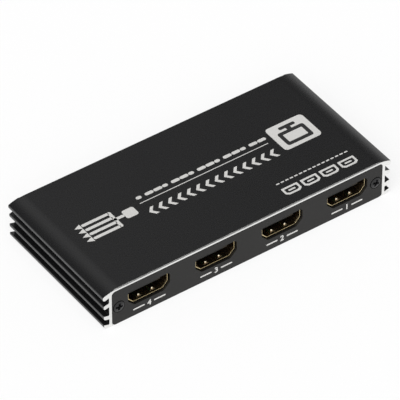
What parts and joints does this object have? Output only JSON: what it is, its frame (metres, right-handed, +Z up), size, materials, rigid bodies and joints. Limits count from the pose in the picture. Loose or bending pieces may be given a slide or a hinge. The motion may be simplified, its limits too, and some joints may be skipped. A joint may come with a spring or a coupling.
{
  "type": "video splitter",
  "caption": "Flat black finned aluminium box that repeats one video input to a row of output sockets, with a rear input socket, power jack, lamps and a small slide switch.",
  "frame": {"origin": "centre of the case's footprint, on the surface that it stands on", "axes": "+X along the row of output sockets, -Y out of the front panel, +Z up through the top wall"},
  "size_m": [0.1104, 0.0532, 0.0148],
  "materials": {
    "black_anodised_case": "fine bead-blasted black anodising, bright bare metal on the cut ends",
    "black_panel": "satin black anodised sheet",
    "black_screw": "black oxide",
    "board_laminate": "green solder mask on glass laminate",
    "chip_resin": "moulded epoxy",
    "thermal_pad": "soft silicone",
    "bare_aluminium": "extruded, bare",
    "ferrite": "pressed powder",
    "can_metal": "drawn can",
    "ceramic": "fired ceramic",
    "gold_plate": "thin gold plating on bent sheet",
    "contact_gold": "gold-plated strip",
    "socket_insulator": "moulded black nylon",
    "nickel_plate": "nickel plating",
    "red_lens": "tinted clear epoxy",
    "blue_lens": "tinted clear epoxy",
    "switch_body": "moulded blue plastic",
    "slider_plastic": "moulded white plastic"
  },
  "bodies": {
    "case": {"case_cover": "black_anodised_case", "bottom_plate": "black_anodised_case", "front_panel": "black_panel", "rear_panel": "black_panel", "front_screws": "black_screw", "rear_screws": "black_screw", "main_board": "board_laminate", "splitter_chip": "chip_resin", "thermal_pad": "thermal_pad", "heat_sink": "bare_aluminium", "regulators": "chip_resin", "power_coils": "ferrite", "bulk_capacitors": "can_metal", "chip_capacitors": "ceramic", "crystal": "can_metal", "surge_arrays": "chip_resin", "input_shell": "gold_plate", "input_tongue": "socket_insulator", "input_contacts": "contact_gold", "dc_jack_body": "socket_insulator", "dc_jack_pin": "nickel_plate", "dc_jack_spring": "nickel_plate", "power_lamp": "red_lens", "signal_lamp": "blue_lens", "dip_switch_body": "switch_body", "output_shell_1": "gold_plate", "output_tongue_1": "socket_insulator", "output_contacts_1": "contact_gold", "output_shell_2": "gold_plate", "output_tongue_2": "socket_insulator", "output_contacts_2": "contact_gold", "output_shell_3": "gold_plate", "output_tongue_3": "socket_insulator", "output_contacts_3": "contact_gold", "output_shell_4": "gold_plate", "output_tongue_4": "socket_insulator", "output_contacts_4": "contact_gold"},
    "slider_1": {"dip_slider_1": "slider_plastic"},
    "slider_2": {"dip_slider_2": "slider_plastic"},
    "slider_3": {"dip_slider_3": "slider_plastic"},
    "slider_4": {"dip_slider_4": "slider_plastic"}
  },
  "joints": [
    {"name": "slider_1_slide", "type": "slide", "parent": "case", "child": "slider_1", "axis": [0, 0, 1], "range_m": [0, 0.0019]},
    {"name": "slider_2_slide", "type": "slide", "parent": "case", "child": "slider_2", "axis": [0, 0, 1], "range_m": [0, 0.0019]},
    {"name": "slider_3_slide", "type": "slide", "parent": "case", "child": "slider_3", "axis": [0, 0, 1], "range_m": [0, 0.0019]},
    {"name": "slider_4_slide", "type": "slide", "parent": "case", "child": "slider_4", "axis": [0, 0, 1], "range_m": [0, 0.0019]}
  ]
}
